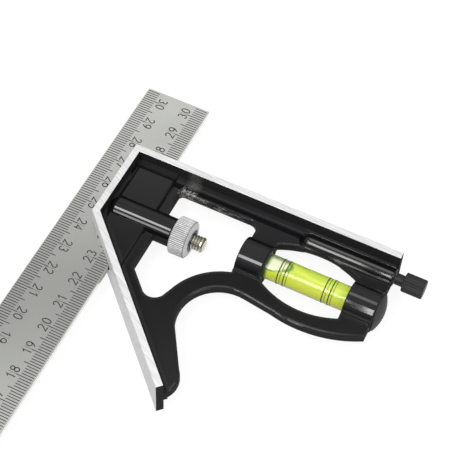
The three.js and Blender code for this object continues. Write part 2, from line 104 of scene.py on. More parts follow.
# Head: where its faces lie, and how its edges are rounded
MITRE_ANGLE = math.radians(45)
HEEL_LENGTH = 32 * MM
FLANGE_DEPTH = 2.65 * MM
MACHINED_DEPTH = 0.07 * MM
WEB_BACK = -1.75 * MM
WEB_TOP = 1.7 * MM
PANEL_TOP = 3.3 * MM
LEVEL_SOFT = 0.3 * MM
HEAD_EDGE_RADIUS = 1.3 * MM
PANEL_EDGE_RADIUS = 0.8 * MM
HEAD_CORNER_RADIUS = 0.22 * MM
BOSS_EDGE_RADIUS = 0.04 * MM
CORNER_REACH = 0.78 * MM
CORNER_SOFT = 0.78 * MM
BOSS_FOOT_REACH = 8.6 * MM
WALL_FOOT_REACH = 0.7 * MM
WALL_FOOT_SOFT = 1.9 * MM
RIDGE_REACH = 2.7 * MM
RIDGE_START = 16.5 * MM

# Other edges, thread and knurl
RULE_EDGE_RADIUS = 0.08 * MM
SMALL_EDGE_RADIUS = 0.1 * MM
THREAD_DEPTH = 0.5 * MM
KNURL_DEPTH = 0.22 * MM
BEVEL_SAMPLES = 12
SMOOTH_ANGLE = math.radians(32)
FLAT_PIECES = ("clamp_nut",)

# Worn places by the window
BLOT_PLACE = Vector((-26.6, -7.2, 0.0)) * MM
BLOT_REACH = Vector((2.2, 1.3, 0.0)) * MM
BLOT_SOFT = 2.6 * MM
STRIP_PLACE = Vector((-15.5, -7.4, 0.0)) * MM
STRIP_REACH = Vector((7.5, 0.2, 0.0)) * MM
STRIP_SOFT = 4.0 * MM
STRIP_EDGE = 0.25 * MM
SMEAR_PLACE = Vector((-26.0, -3.6, 0.0)) * MM
SMEAR_REACH = Vector((0.8, 1.0, 0.0)) * MM
SMEAR_SOFT = 2.4 * MM
SMEAR_EDGE = 1.2 * MM

# Colours, linear
WHITE = (1.0, 1.0, 1.0, 1.0)
PAINT_DARK = (0.0045, 0.0045, 0.0053, 1.0)
PAINT_LIGHT = (0.0080, 0.0080, 0.0090, 1.0)
RULE_DARK = (0.71, 0.72, 0.68, 1.0)
RULE_LIGHT = (0.77, 0.78, 0.74, 1.0)
BOLT_CREST = (0.62, 0.60, 0.50, 1.0)
# Painted shade in the bolt's thread roots
BOLT_ROOT_SHADE = (0.14, 0.13, 0.10, 1.0)
TUBE_DARK = (0.55, 0.70, 0.22, 1.0)
TUBE_LIGHT = (0.66, 0.80, 0.28, 1.0)
# Painted light: the liquid's upper side shaded and its lower side lit, where the tube gathers light
LIQUID_UPPER_SHADED = (0.57, 0.74, 0.050, 1.0)
LIQUID_LOWER_LIT = (0.95, 1.00, 0.030, 1.0)
LIQUID_CLOUD = (0.84, 0.84, 0.09, 1.0)
BUBBLE_PALE = (0.86, 0.88, 0.64, 1.0)
BUBBLE_RIM = (0.03, 0.22, 0.05, 1.0)
# Painted shade: the dark head seen through the bubble
BUBBLE_SEEN_SHADE = (0.20, 0.22, 0.12, 1.0)
RING_SHADOW = (0.08, 0.16, 0.02, 1.0)
BOSS_SHADOW = (0.03, 0.10, 0.03, 1.0)

# Greys, linear, and how warm they are
MACHINED_DARK = 0.68
MACHINED_LIGHT = 0.90
PIT_GREY = 0.35
# Painted shade on the machined faces that stand upright
UPRIGHT_PAINTED_SHADE_GREY = 0.45
UPRIGHT_PAINTED_SHADE_SHARE = 0.35
RUBBED_DARK = 0.12
RUBBED_DARK_WARMTH = 0.06
RUBBED_LIGHT = 0.42
RUBBED_LIGHT_WARMTH = 0.04
INK_DARK = 0.02
INK_LIGHT = 0.06
NUT_CREST = 0.98
# Painted shade in the nut's knurl roots
NUT_ROOT_SHADE = 0.22
# Painted shade round the nut's bore
BORE_SHADE_GREY = 0.02
WIRE_GREY = 0.5
BUSHING_CREST = 0.10
# Painted shade towards the bushing's axis
BUSHING_ROOT_SHADE = 0.05
BRASS_WARMTH = 0.2
NEEDLE_GREY = 0.4
STOPPER_GREY = 0.02
PACKING_GREY = 0.6
PLUG_GREY = 0.03
KNOB_GREY = 0.014

# Gloss: the paint is glossy where it lies flat, and dull on the cast sides and at the walls' feet
PAINT_SPECULAR = 0.43
TOP_ROUGHNESS = 0.05
SIDE_ROUGHNESS = 0.92
WALL_FOOT_ROUGHNESS = 0.85
CLOUD_ROUGHNESS = 0.02
WORN_ROUGHNESS = 0.6
MACHINED_ROUGHNESS = 0.42
MACHINED_METALLIC = 0.3
RULE_ROUGHNESS = (0.17, 0.14)
INK_ROUGHNESS = 0.6
INK_SPECULAR = 0.3
ROOT_DULLNESS = 0.15
MOULDED_SPECULAR = 0.35
MOULDED_DULLNESS = 0.12
TUBE_ROUGHNESS = 0.1
LIQUID_ROUGHNESS = 0.16
LEVEL_SPECULAR = 0.5

# Patterns: how many there are to a metre, along each axis where there are three numbers
PEEL_SCALE = 2600.0
WAVE_SCALE = 330.0
CLOUD_SCALE = 120.0
PIT_SCALE = 900.0
CRUMB_SCALE = 1500.0
INK_SCALE = 2500.0
PLATING_CLOUD_SCALE = 500.0
MOULDED_SCALE = 1800.0
HAZE_SCALE = 300.0
RULE_CLOUD_SCALE = 60.0
MILLING_SCALE = (90.0, 2300.0, 600.0)
STREAK_SCALE = (220.0, 1800.0, 1800.0)
RULE_GRAIN_SCALE = (4200.0, 60.0, 4200.0)
TURNED_GRAIN = (9000.0, 300.0, 300.0)
KNURL_GRAIN = (40.0, 900.0, 900.0)
LIQUID_CLOUD_SCALE = (70.0, 400.0, 400.0)
FLANGE_MILLING_TURN = math.radians(5.5)
MITRE_MILLING_TURN = math.radians(25)

# Patterns: how fine and how rough each kind of noise is
PLAIN_NOISE = {"detail": 1.0}
RULE_CLOUD_NOISE = {"detail": 3.0}
GRAIN_NOISE = {"detail": 3.0, "roughness": 0.6}
MILLING_NOISE = {"detail": 3.0, "roughness": 0.65}
STREAK_NOISE = {"detail": 3.0, "roughness": 0.7}
CRUMB_NOISE = {"detail": 4.0, "roughness": 0.7}

# Patterns: the values that each one changes between, and what it then gives where that isn't zero and one
MILLING_RANGE = (0.36, 0.64)
PIT_RANGE = (0.79, 0.83)
LYING_RANGE = (0.15, 0.5)
PEEL_RANGE = (0.35, 0.65)
CRUMB_BAR = (0.75, 0.47)
CRUMB_RANGE = (-0.01, 0.08)
STREAK_RANGE = (0.52, 0.6)
SMEAR_RANGE = (0.3, 0.7)
SMEAR_SHARES = (0.02, 0.4)
RULE_TONE_RANGE = (0.3, 0.7)
RULE_GRAIN_SHARE = 0.12
PLATING_RANGE = (0.35, 0.58)
PLATING_TURNED_SHARE = 0.5
PLATING_LOW = 0.9
KNURL_LOW = 0.7
END_RANGE = (0.6, 0.85)
# Painted shade round the nut's bore: its reach, where it is full, and how patchy and dark it is
BORE_SHADE_REACH_SHARE = 1.6
BORE_SHADE_FULL_SHARE = 0.85
BORE_SHADE_RANGE = (0.3, 0.5)
BORE_SHADE_SHARES = (0.5, 0.95)
MOULDED_TONES = (0.75, 1.25)
MOULDED_RANGE = (0.2, 0.8)
FACING_BLEND = 0.35
FACING_RANGE = (0.35, 1.0)
TUBE_ALPHA = (0.05, 0.42)

# Liquid's painted light and shade: angles are from straight up towards the square's open side
LIT_LOWER_ANGLES = (math.radians(45), math.radians(100))
LIQUID_CLOUD_RANGE = (0.45, 0.75)
PALE_RANGE = (0.85, 0.6)
RIM_MIDDLE = 0.95
RIM_REACH = 0.08
RIM_SOFT = 0.12
RIM_SHARE = 0.8
SEEN_SHADE_ANGLES = (math.radians(-8), math.radians(-25))
SEEN_SHADE_STRETCH = (7.6 * MM, 6.84 * MM)
SEEN_SHADE_SHARE = 0.8
RING_SHADOW_SHARE = 0.85
BOSS_SHADOW_END = 1.6 * MM
BOSS_SHADOW_FULL = BOSS_SHADOW_END / 3

# Relief: how strong waves and worn places are beside the paint's grain, and the height of a full change
WAVE_HEIGHT = 3.0
WORN_HEIGHT = -3.0
RELIEF_HEIGHT = 0.01 * MM
PAINT_RELIEF_SHARE = 0.025
RULE_RELIEF_HEIGHT = 0.005 * MM
RULE_RELIEF_SHARE = 0.12
PLATING_RELIEF_SHARE = 0.1
MOULDED_RELIEF_HEIGHT = 0.02 * MM
MOULDED_RELIEF_SHARE = 0.3

# Floor
FLOOR_GAP = 0.05 * MM
FLOOR_SIZE = 6.0
FLOOR_CELLS = 8
FLOOR_SHADE = 0.16
FLOOR_ROUGHNESS = 0.9
FLOOR_SPECULAR = 0.1
FLOOR_GLOW = 0.89

# World: light by the sine of the height above the horizon
WALL_RISE = 0.2
CEILING_RISE = 0.7
WALL_LIGHT = 0.25
CEILING_LIGHT = 0.76
BAND_RISE = math.sin(math.radians(56.9))
BAND_REACH = 0.044
BAND_DIP = 0.5

# Lamps: their place across in metres, and their angle up in degrees from the square's open side
LAMP_DISTANCE = 0.94
LAMP_CENTRE = Vector((0.0, -20.0, 5.0)) * MM
LAMPS = {
    "key_high": {"side": -0.31, "rise": 69, "width": 0.12, "height": 0.27, "radiance": 13.0},
    "key_low": {"side": -0.31, "rise": 37, "width": 0.12, "height": 0.25, "radiance": 7.0},
    "key_right": {"side": -0.148, "rise": 53, "width": 0.124, "height": 0.40, "radiance": 12.0},
    "strip_lamp": {"side": -0.060, "rise": 48, "width": 0.007, "height": 0.30, "radiance": 32.0},
    "overhead": {"side": -0.08, "rise": 100, "width": 0.14, "height": 0.42, "radiance": 2.6},
    "side_fill": {"side": 0.6, "rise": 75, "width": 0.40, "height": 0.50, "radiance": 3.5},
}

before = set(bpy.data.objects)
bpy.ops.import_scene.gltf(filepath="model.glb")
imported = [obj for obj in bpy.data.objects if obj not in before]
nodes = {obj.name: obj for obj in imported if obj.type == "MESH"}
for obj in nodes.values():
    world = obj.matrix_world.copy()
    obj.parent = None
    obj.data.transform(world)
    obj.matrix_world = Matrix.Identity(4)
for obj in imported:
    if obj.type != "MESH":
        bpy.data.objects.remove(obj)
cad_low, cad_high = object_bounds()

rule_low, rule_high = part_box("steel_rule")
head_low, head_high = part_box("square_head")
tube_low, tube_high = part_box("vial_tube")
bolt_low, bolt_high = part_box("clamp_bolt")
nut_low, nut_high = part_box("clamp_nut")
knob_low, knob_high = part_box("scriber_knob")
tube_middle = (tube_low + tube_high) / 2
tube_radius = (tube_high.z - tube_low.z) / 2
bolt_middle = (nut_low + nut_high) / 2
bolt_radius = (bolt_high.z - bolt_low.z) / 2
nut_radius = (nut_high.z - nut_low.z) / 2
scriber_middle = (knob_low + knob_high) / 2
scriber_radius = (knob_high.z - knob_low.z) / 2


def new_piece(name, build_mesh):
    """An object made from the bmesh that build_mesh fills."""
    shape = bmesh.new()
    build_mesh(shape)
    mesh = bpy.data.meshes.new(name)
    shape.to_mesh(mesh)
    shape.free()
    piece = bpy.data.objects.new(name, mesh)
    bpy.context.scene.collection.objects.link(piece)
    return piece


def shade(piece, smooth):
    """Smooth or flat faces, with sharp edges kept."""
    for polygon in piece.data.polygons:
        polygon.use_smooth = smooth
    piece.data.set_sharp_from_angle(angle=SMOOTH_ANGLE)


# Figures: each is a list of strokes in a cell one wide and one high


def arc(middle_x, middle_y, radius_x, radius_y, start, end):
    """Points on an ellipse's arc between two angles in degrees."""
    first, last = math.radians(start), math.radians(end)
    steps = max(2, round(abs(last - first) / FIGURE_ARC_STEP))
    points = []
    for step in range(steps + 1):
        angle = first + (last - first) * step / steps
        points.append((middle_x + radius_x * math.cos(angle), middle_y + radius_y * math.sin(angle)))
    return points


def turned_round(strokes):
    """The strokes turned half way round in their cell."""
    return [[(1 - x, 1 - y) for x, y in stroke] for stroke in strokes]


SIX = [arc(0.5, 0.3, 0.5, 0.3, 90, 450), arc(0.95, 0.33, 0.95, 0.67, 180, 108)]
FIGURES = {
    "0": [arc(0.5, 0.5, 0.5, 0.5, 90, 450)],
    "1": [[(0.2, 0.76), (0.68, 1.0), (0.68, 0.0)]],
    "2": [arc(0.5, 0.71, 0.48, 0.29, 165, -30) + [(0.0, 0.0), (1.0, 0.0)]],
    "3": [arc(0.48, 0.76, 0.42, 0.24, 150, -80), arc(0.5, 0.27, 0.5, 0.27, 85, -150)],
    "4": [[(0.73, 0.0), (0.73, 1.0), (0.0, 0.3), (1.0, 0.3)]],
    "5": [[(0.92, 1.0), (0.18, 1.0)] + arc(0.48, 0.32, 0.5, 0.32, 140, -150)],
    "6": SIX,
    "7": [[(0.0, 1.0), (1.0, 1.0), (0.35, 0.0)]],
    "8": [arc(0.5, 0.77, 0.42, 0.23, 90, 450), arc(0.5, 0.27, 0.5, 0.27, 90, 450)],
    "9": turned_round(SIX),
}


def side_step(before, after):
    """The mitred step to the left of a stroke at a point, for a stroke of half width one."""
    ways = [way.normalized() for way in (before, after) if way.length > 0]
    lefts = [Vector((-way.y, way.x)) for way in ways]
    middle = sum(lefts, Vector((0, 0))).normalized()
    return middle / max(middle.dot(lefts[0]), SHARPEST_MITRE)


def add_ribbon(shape, points, width, place):
    """A thin closed band along flat points. place turns a flat point and a height into a place in space."""
    flat = [Vector(point) for point in points]
    closed = (flat[0] - flat[-1]).length < width * CLOSING_SHARE
    if closed:
        flat.pop()
    count = len(flat)
    rings = []
    for index, point in enumerate(flat):
        previous = flat[index - 1] if closed or index > 0 else point
        following = flat[(index + 1) % count] if closed or index + 1 < count else point
        step = side_step(point - previous, following - point) * (width / 2)
        corners = [(point + step, MARK_HEIGHT), (point - step, MARK_HEIGHT)]
        corners += [(point - step, -MARK_SINK), (point + step, -MARK_SINK)]
        rings.append([shape.verts.new(place(flat_point, height)) for flat_point, height in corners])
    pairs = list(zip(rings, rings[1:]))
    if closed:
        pairs.append((rings[-1], rings[0]))
    else:
        shape.faces.new(rings[0])
        shape.faces.new(list(reversed(rings[-1])))
    for ring, following in pairs:
        for side in range(4):
            other = (side + 1) % 4
            shape.faces.new((ring[other], ring[side], following[side], following[other]))


def mark_edge(shape, edge_x, inward, face_z, normal):
    """The ticks and figures along one edge of one face of the rule. inward and normal are unit vectors."""
    reading = inward.cross(normal)

    def at(along, depth):
        return Vector((edge_x, rule_low.y + along, face_z)) + inward * depth

    count = round((rule_high.y - rule_low.y) / MM)
    for number in range(1, count):
        end = FIVE_TICK_END if number % 5 == 0 else MILLIMETRE_TICK_END
        along = number * MM

        def place_tick(point, height, along=along):
            return at(along + point.y, point.x) + normal * height

        add_ribbon(shape, [(TICK_START, 0), (end, 0)], TICK_WIDTH, place_tick)
        if number % 10 == 0:
            add_ribbon(shape, [(end, 0), (CENTIMETRE_TICK_END, 0)], HAIRLINE_WIDTH, place_tick)
            add_label(shape, str(number // 10), at(along, FIGURE_FOOT), inward, reading, normal)


def add_label(shape, text, foot, up, reading, normal):
    """The figures of one label, on both sides of its tick."""
    first_cell = -FIGURE_GAP - FIGURE_WIDTH
    for index, letter in enumerate(text):
        start = first_cell + index * (FIGURE_WIDTH + 2 * FIGURE_GAP)

        def place_figure(point, height, start=start):
            return foot + reading * (start + point.x) + up * point.y + normal * height

        for stroke in FIGURES[letter]:
            sized = [(x * FIGURE_WIDTH, y * FIGURE_HEIGHT) for x, y in stroke]
            add_ribbon(shape, sized, FIGURE_STROKE, place_figure)


def scale_marks(name, face_z, side):
    """The marks along both edges of one face of the rule."""
    normal = Vector((0, 0, side))

    def build(shape):
        mark_edge(shape, rule_high.x, Vector((-1, 0, 0)), face_z, normal)
        mark_edge(shape, rule_low.x, Vector((1, 0, 0)), face_z, normal)
        bmesh.ops.recalc_face_normals(shape, faces=shape.faces)

    piece = new_piece(name, build)
    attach(piece, "rule")
    return piece


# Level


def turns():
    """The angles of the corners round the level's line."""
    return [side / LEVEL_SIDES * math.tau for side in range(LEVEL_SIDES)]


def round_tube(x, radius, angle):
    """A place round the level's tube, by its angle from straight up towards the open side."""
    return (x, tube_middle.y - radius * math.sin(angle), tube_middle.z + radius * math.cos(angle))


def close_mesh(shape, rings, capped):
    """Faces between rings of corners, with flat ends where capped, else joined last to first."""
    pairs = list(zip(rings, rings[1:]))
    if capped:
        shape.faces.new(rings[0])
        shape.faces.new(rings[-1])
    else:
        pairs.append((rings[-1], rings[0]))
    for ring, following in pairs:
        for corner in range(len(ring)):
            other = (corner + 1) % len(ring)
            shape.faces.new((ring[corner], ring[other], following[other], following[corner]))
    bmesh.ops.recalc_face_normals(shape, faces=shape.faces)


def bubble_dent(x, angle):
    """How deep the bubble presses into the liquid's outline."""
    along = (x - BUBBLE_START) / BUBBLE_LENGTH
    turned = math.remainder(angle, math.tau) / BUBBLE_HALF_ANGLE
    inside = 1 - along ** 2 - turned ** 2
    return BUBBLE_DEPTH * math.sqrt(max(inside, 0.0))


def full_liquid():
    """The liquid as it is seen through the tube, with the bubble's hollow."""
    low_x, high_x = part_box("vial_liquid")[0].x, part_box("vial_liquid")[1].x
    radius = tube_radius - LIQUID_INSET

    def build(shape):
        rings = []
        for step in range(LIQUID_STEPS + 1):
            x = low_x + (high_x - low_x) * step / LIQUID_STEPS
            places = [round_tube(x, radius - bubble_dent(x, angle), angle) for angle in turns()]
            rings.append([shape.verts.new(place) for place in places])
        close_mesh(shape, rings, capped=True)

    piece = new_piece("level_liquid", build)
    shade(piece, smooth=True)
    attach(piece, "head")
    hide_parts("vial_liquid")
    return piece


def turned_piece(name, profile):
    """A body turned round the tube's line from a closed profile of places along X and radii."""

    def build(shape):
        rings = []
        for angle in turns():
            rings.append([shape.verts.new(round_tube(x, radius, angle)) for x, radius in profile])
        close_mesh(shape, rings, capped=False)

    piece = new_piece(name, build)
    shade(piece, smooth=True)
    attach(piece, "head")
    return piece


def smooth_tube():
    """The tube's clear wall as an evenly faceted ring, so that light runs along it in one straight line."""
    bore = tube_radius - TUBE_WALL
    steps = [tube_low.x + (tube_high.x - tube_low.x) * step / TUBE_STEPS for step in range(TUBE_STEPS + 1)]
    profile = [(x, tube_radius) for x in steps] + [(x, bore) for x in reversed(steps)]
    piece = turned_piece("level_tube", profile)
    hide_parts("vial_tube")
    return piece


def level_ring(name, x):
    """A thin black band round the level's tube."""
    inner = tube_radius - RING_HEIGHT
    outer = tube_radius + RING_HEIGHT
    return turned_piece(name, [(x, inner), (x, outer), (x + RING_WIDTH, outer), (x + RING_WIDTH, inner)])


front_marks = scale_marks("scale_front", rule_high.z, 1)
back_marks = scale_marks("scale_back", rule_low.z, -1)
level_liquid = full_liquid()
level_tube = smooth_tube()
rings = []
for number, offset in enumerate(RING_OFFSETS, start=1):
    rings.append(level_ring(f"level_ring_{number}", SIGHT_START + offset - RING_WIDTH / 2))


# Materials


class Nodes:
    """A node tree with short ways to add nodes to it."""

    def __init__(self, tree):
        self.tree = tree

    def node(self, kind, **settings):
        made = self.tree.nodes.new(kind)
        for key, value in settings.items():
            setattr(made, key, value)
        return made

    def feed(self, socket, value):
        """Link a socket to another one, or set it to a plain value."""
        if isinstance(value, bpy.types.NodeSocket):
            self.tree.links.new(value, socket)
        else:
            socket.default_value = value

    def math(self, operation, first, second=0.0, clamp=False):
        made = self.node("ShaderNodeMath", operation=operation, use_clamp=clamp)
        self.feed(made.inputs[0], first)
        self.feed(made.inputs[1], second)
        return made.outputs[0]

    def split(self, vector):
        """The X, Y and Z of a vector."""
        made = self.node("ShaderNodeSeparateXYZ")
        self.feed(made.inputs[0], vector)
        return made.outputs

    def ramp(self, value, low, high, low_out=0.0, high_out=1.0):
        """The value mapped from one range to another, with its ends held."""
        made = self.node("ShaderNodeMapRange")
        self.feed(made.inputs["Value"], value)
        ends = {"From Min": low, "From Max": high, "To Min": low_out, "To Max": high_out}
        for key, number in ends.items():
            self.feed(made.inputs[key], number)
        return made.outputs[0]


class Finish(Nodes):
    """A Principled material with short ways to add patterns to it."""

    def __init__(self, name, **settings):
        self.material = bpy.data.materials.new(name)
        self.material.use_nodes = True
        super().__init__(self.material.node_tree)
        self.shader = self.tree.nodes["Principled BSDF"]
        for key, value in settings.items():
            self.shader.inputs[key.replace("_", " ")].default_value = value
        coordinates = self.node("ShaderNodeTexCoord").outputs
        self.place = coordinates["Object"]
        self.facing = coordinates["Normal"]

    def set(self, key, value):
        self.feed(self.shader.inputs[key], value)

    def stretched(self, scale, turn=0.0):
        """The place on the object turned about Z and scaled along each axis."""
        turned = self.node("ShaderNodeMapping")
        self.feed(turned.inputs["Vector"], self.place)
        turned.inputs["Rotation"].default_value = (0.0, 0.0, turn)
        made = self.node("ShaderNodeMapping")
        self.feed(made.inputs["Vector"], turned.outputs[0])
        made.inputs["Scale"].default_value = scale
        return made.outputs[0]

    def noise(self, vector, scale=1.0, detail=2.0, roughness=0.5):
        made = self.node("ShaderNodeTexNoise")
        self.feed(made.inputs["Vector"], vector)
        made.inputs["Scale"].default_value = scale
        made.inputs["Detail"].default_value = detail
        made.inputs["Roughness"].default_value = roughness
        return made.outputs["Fac"]

    def near(self, value, middle, reach, soft):
        """One where the value lies within reach of the middle, and zero beyond the soft edge."""
        away = self.math("ABSOLUTE", self.math("SUBTRACT", value, middle))
        return self.ramp(away, reach + soft, reach)

    def between(self, kind, share, first, second):
        """A value of a kind between two others."""
        made = self.node("ShaderNodeMix", data_type=kind)
        self.feed(made.inputs["Factor"], share)
        self.feed(made.inputs["A"], first)
        self.feed(made.inputs["B"], second)
        return made.outputs["Result"]

    def mix(self, share, first, second):
        """A colour between two others."""
        return self.between("RGBA", share, first, second)

    def blend(self, share, first, second):
        """A number between two others."""
        return self.between("FLOAT", share, first, second)

    def rounded(self, radius):
        """The surface's direction with its edges rounded to a radius."""
        made = self.node("ShaderNodeBevel", samples=BEVEL_SAMPLES)
        self.feed(made.inputs["Radius"], radius)
        return made.outputs["Normal"]

    def bump(self, height, strength, distance, direction=None):
        """Small relief, over a direction where one is given."""
        made = self.node("ShaderNodeBump")
        made.inputs["Strength"].default_value = strength
        made.inputs["Distance"].default_value = distance
        self.feed(made.inputs["Height"], height)
        if direction:
            self.feed(made.inputs["Normal"], direction)
        self.feed(self.shader.inputs["Normal"], made.outputs["Normal"])

    def radius_from(self, axis_place):
        """The distance from a line along X through a place."""
        _, y, z = self.split(self.place)
        across = self.math("POWER", self.math("SUBTRACT", y, axis_place.y), 2.0)
        up = self.math("POWER", self.math("SUBTRACT", z, axis_place.z), 2.0)
        return self.math("SQRT", self.math("ADD", across, up))


def grey(level, warmth=0.0):
    """A grey of a linear level, with a little more red and less blue for warmth."""
    return (level * (1 + warmth), level, level * (1 - warmth), 1.0)


# Head


def mitre_depth(finish, x, y):
    """How far a place lies behind the plane of the mitre face."""
    leaned = finish.math("ADD", finish.math("SUBTRACT", x, head_low.x), finish.math("ADD", y, HEEL_LENGTH))
    return finish.math("MULTIPLY", leaned, math.cos(MITRE_ANGLE))


def wall_distance(finish, x, y):
    """How far a place lies from the nearer inner wall of the two flanges."""
    from_mitre = finish.math("SUBTRACT", mitre_depth(finish, x, y), FLANGE_DEPTH)
    return finish.math("MINIMUM", finish.math("SUBTRACT", -FLANGE_DEPTH, y), from_mitre)


def machined_share(finish, x, y, z):
    """One on the head's bare faces: both flange tops, the square face, the heel and the mitre face."""
    flat = finish.math("ABSOLUTE", z)
    on_top = finish.math("GREATER_THAN", flat, head_high.z - MACHINED_DEPTH)
    on_square = finish.math("GREATER_THAN", y, -MACHINED_DEPTH)
    on_heel = finish.math("LESS_THAN", x, head_low.x + MACHINED_DEPTH)
    on_mitre = finish.math("LESS_THAN", mitre_depth(finish, x, y), MACHINED_DEPTH)
    flats = finish.math("MAXIMUM", on_top, on_square)
    return finish.math("MAXIMUM", flats, finish.math("MAXIMUM", on_heel, on_mitre))


def patch(finish, x, y, place, reach, soft_x, soft_y):
    """One on a patch of the head round a place, and zero beyond its soft edges."""
    within_x = finish.near(x, place.x, reach.x, soft_x)
    within_y = finish.near(y, place.y, reach.y, soft_y)
    return finish.math("MULTIPLY", within_x, within_y)


def worn_share(finish, x, y, z):
    """One where the paint is rubbed through: crumbs at the window's corner, streaks along its long side."""
    crumbs = finish.noise(finish.place, CRUMB_SCALE, **CRUMB_NOISE)
    corner = patch(finish, x, y, BLOT_PLACE, BLOT_REACH, BLOT_SOFT, BLOT_SOFT)
    over_bar = finish.math("SUBTRACT", crumbs, finish.ramp(corner, 0.0, 1.0, *CRUMB_BAR))
    crumbled = finish.ramp(over_bar, *CRUMB_RANGE)
    in_corner = finish.math("MULTIPLY", finish.math("GREATER_THAN", corner, 0.0), crumbled)

    strip = patch(finish, x, y, STRIP_PLACE, STRIP_REACH, STRIP_SOFT, STRIP_EDGE)
    streaks = finish.noise(finish.stretched(STREAK_SCALE), **STREAK_NOISE)
    in_strip = finish.math("MULTIPLY", strip, finish.ramp(streaks, *STREAK_RANGE))

    smear = patch(finish, x, y, SMEAR_PLACE, SMEAR_REACH, SMEAR_SOFT, SMEAR_EDGE)
    smear = finish.math("MULTIPLY", smear, finish.ramp(crumbs, *SMEAR_RANGE, *SMEAR_SHARES))

    worst = finish.math("MAXIMUM", finish.math("MAXIMUM", in_corner, in_strip), smear)
    front = finish.math("GREATER_THAN", z, WEB_BACK)
    return finish.math("MULTIPLY", front, worst, clamp=True)


def vial_boss_share(finish, x):
    """One on the two bosses that hold the level, and on the hollow curves at their feet."""
    close = finish.ramp(finish.radius_from(tube_middle), BOSS_FOOT_REACH + LEVEL_SOFT, BOSS_FOOT_REACH)
    from_middle = finish.math("ABSOLUTE", finish.math("SUBTRACT", x, SIGHT_MIDDLE))
    return finish.math("MULTIPLY", close, finish.math("GREATER_THAN", from_middle, SIGHT_LENGTH / 2))


def edge_radius(finish, x, z, from_wall):
    """The radius of the head's edges: widest on the web, and small on the bosses and by the walls."""
    from_middle = finish.math("ABSOLUTE", z)
    above_web = finish.ramp(from_middle, WEB_TOP, WEB_TOP + LEVEL_SOFT)
    above_panel = finish.ramp(from_middle, PANEL_TOP, PANEL_TOP + LEVEL_SOFT)
    radius = finish.blend(above_web, HEAD_EDGE_RADIUS, PANEL_EDGE_RADIUS)
    radius = finish.blend(above_panel, radius, BOSS_EDGE_RADIUS)
    clear = finish.ramp(from_wall, CORNER_REACH, CORNER_REACH + CORNER_SOFT)
    radius = finish.math("MINIMUM", radius, finish.blend(clear, HEAD_CORNER_RADIUS, HEAD_EDGE_RADIUS))
    return finish.blend(vial_boss_share(finish, x), radius, BOSS_EDGE_RADIUS)


def milled_stripes(finish, y):
    """Stripes left by the mill, along the 90 degree flange and slanting over the mitre's."""
    along_flange = finish.noise(finish.stretched(MILLING_SCALE, FLANGE_MILLING_TURN), **MILLING_NOISE)
    over_mitre = finish.noise(finish.stretched(MILLING_SCALE, MITRE_MILLING_TURN), **MILLING_NOISE)
    on_flange = finish.math("GREATER_THAN", y, -FLANGE_DEPTH)
    return finish.ramp(finish.blend(on_flange, over_mitre, along_flange), *MILLING_RANGE)


def machined_colour(finish, milling, lying):
    """Bright milled metal with pits, and painted shade on its upright faces."""
    pits = finish.ramp(finish.noise(finish.place, PIT_SCALE, **PLAIN_NOISE), *PIT_RANGE)
    striped = finish.mix(milling, grey(MACHINED_DARK), grey(MACHINED_LIGHT))
    machined = finish.mix(pits, striped, grey(PIT_GREY))
    # Painted shade: upright faces are coloured darker than the flat ones
    return finish.mix(lying, finish.mix(UPRIGHT_PAINTED_SHADE_SHARE, machined, grey(UPRIGHT_PAINTED_SHADE_GREY)), machined)


def paint_roughness(finish, x, y, from_wall, lying):
    """How dull the paint is: glossy where it lies flat, but for the walls' feet away from the ridge."""
    off_wall = finish.ramp(from_wall, WALL_FOOT_REACH, WALL_FOOT_REACH + WALL_FOOT_SOFT)
    along_ridge = finish.near(y, scriber_middle.y, RIDGE_REACH, LEVEL_SOFT)
    on_ridge = finish.math("MULTIPLY", along_ridge, finish.math("GREATER_THAN", x, RIDGE_START))
    off_wall = finish.math("MAXIMUM", off_wall, on_ridge)
    return finish.blend(lying, SIDE_ROUGHNESS, finish.blend(off_wall, WALL_FOOT_ROUGHNESS, TOP_ROUGHNESS))


def painted_head():
    """Gloss black paint, bare machined faces and the worn places by the window."""
    finish = Finish("head_paint", Specular_IOR_Level=PAINT_SPECULAR)
    x, y, z = finish.split(finish.place)
    bare = machined_share(finish, x, y, z)
    worn = worn_share(finish, x, y, z)
    from_wall = wall_distance(finish, x, y)
    edges = finish.rounded(edge_radius(finish, x, z, from_wall))
    _, _, facing = finish.split(edges)
    lying = finish.ramp(finish.math("ABSOLUTE", facing), *LYING_RANGE)

    milling = milled_stripes(finish, y)
    machined = machined_colour(finish, milling, lying)
    orange_peel = finish.noise(finish.place, PEEL_SCALE, **GRAIN_NOISE)
    cloud = finish.noise(finish.place, CLOUD_SCALE)
    paint = finish.mix(cloud, PAINT_DARK, PAINT_LIGHT)
    rubbed = finish.mix(finish.ramp(orange_peel, *PEEL_RANGE), grey(RUBBED_DARK, RUBBED_DARK_WARMTH),
                        grey(RUBBED_LIGHT, RUBBED_LIGHT_WARMTH))
    finish.set("Base Color", finish.mix(bare, finish.mix(worn, paint, rubbed), machined))
    finish.set("Metallic", finish.math("MULTIPLY", bare, MACHINED_METALLIC))

    dull = paint_roughness(finish, x, y, from_wall, lying)
    dull = finish.math("ADD", dull, finish.math("MULTIPLY", cloud, CLOUD_ROUGHNESS))
    finish.set("Roughness", finish.blend(bare, finish.blend(worn, dull, WORN_ROUGHNESS), MACHINED_ROUGHNESS))

    waves = finish.math("MULTIPLY", finish.noise(finish.place, WAVE_SCALE, **PLAIN_NOISE), WAVE_HEIGHT)
    relief = finish.math("ADD", orange_peel, waves)
    relief = finish.math("ADD", relief, finish.math("MULTIPLY", milling, bare))
    relief = finish.math("ADD", relief, finish.math("MULTIPLY", worn, WORN_HEIGHT))
    finish.bump(relief, PAINT_RELIEF_SHARE, RELIEF_HEIGHT, edges)
    return finish.material


# Rule


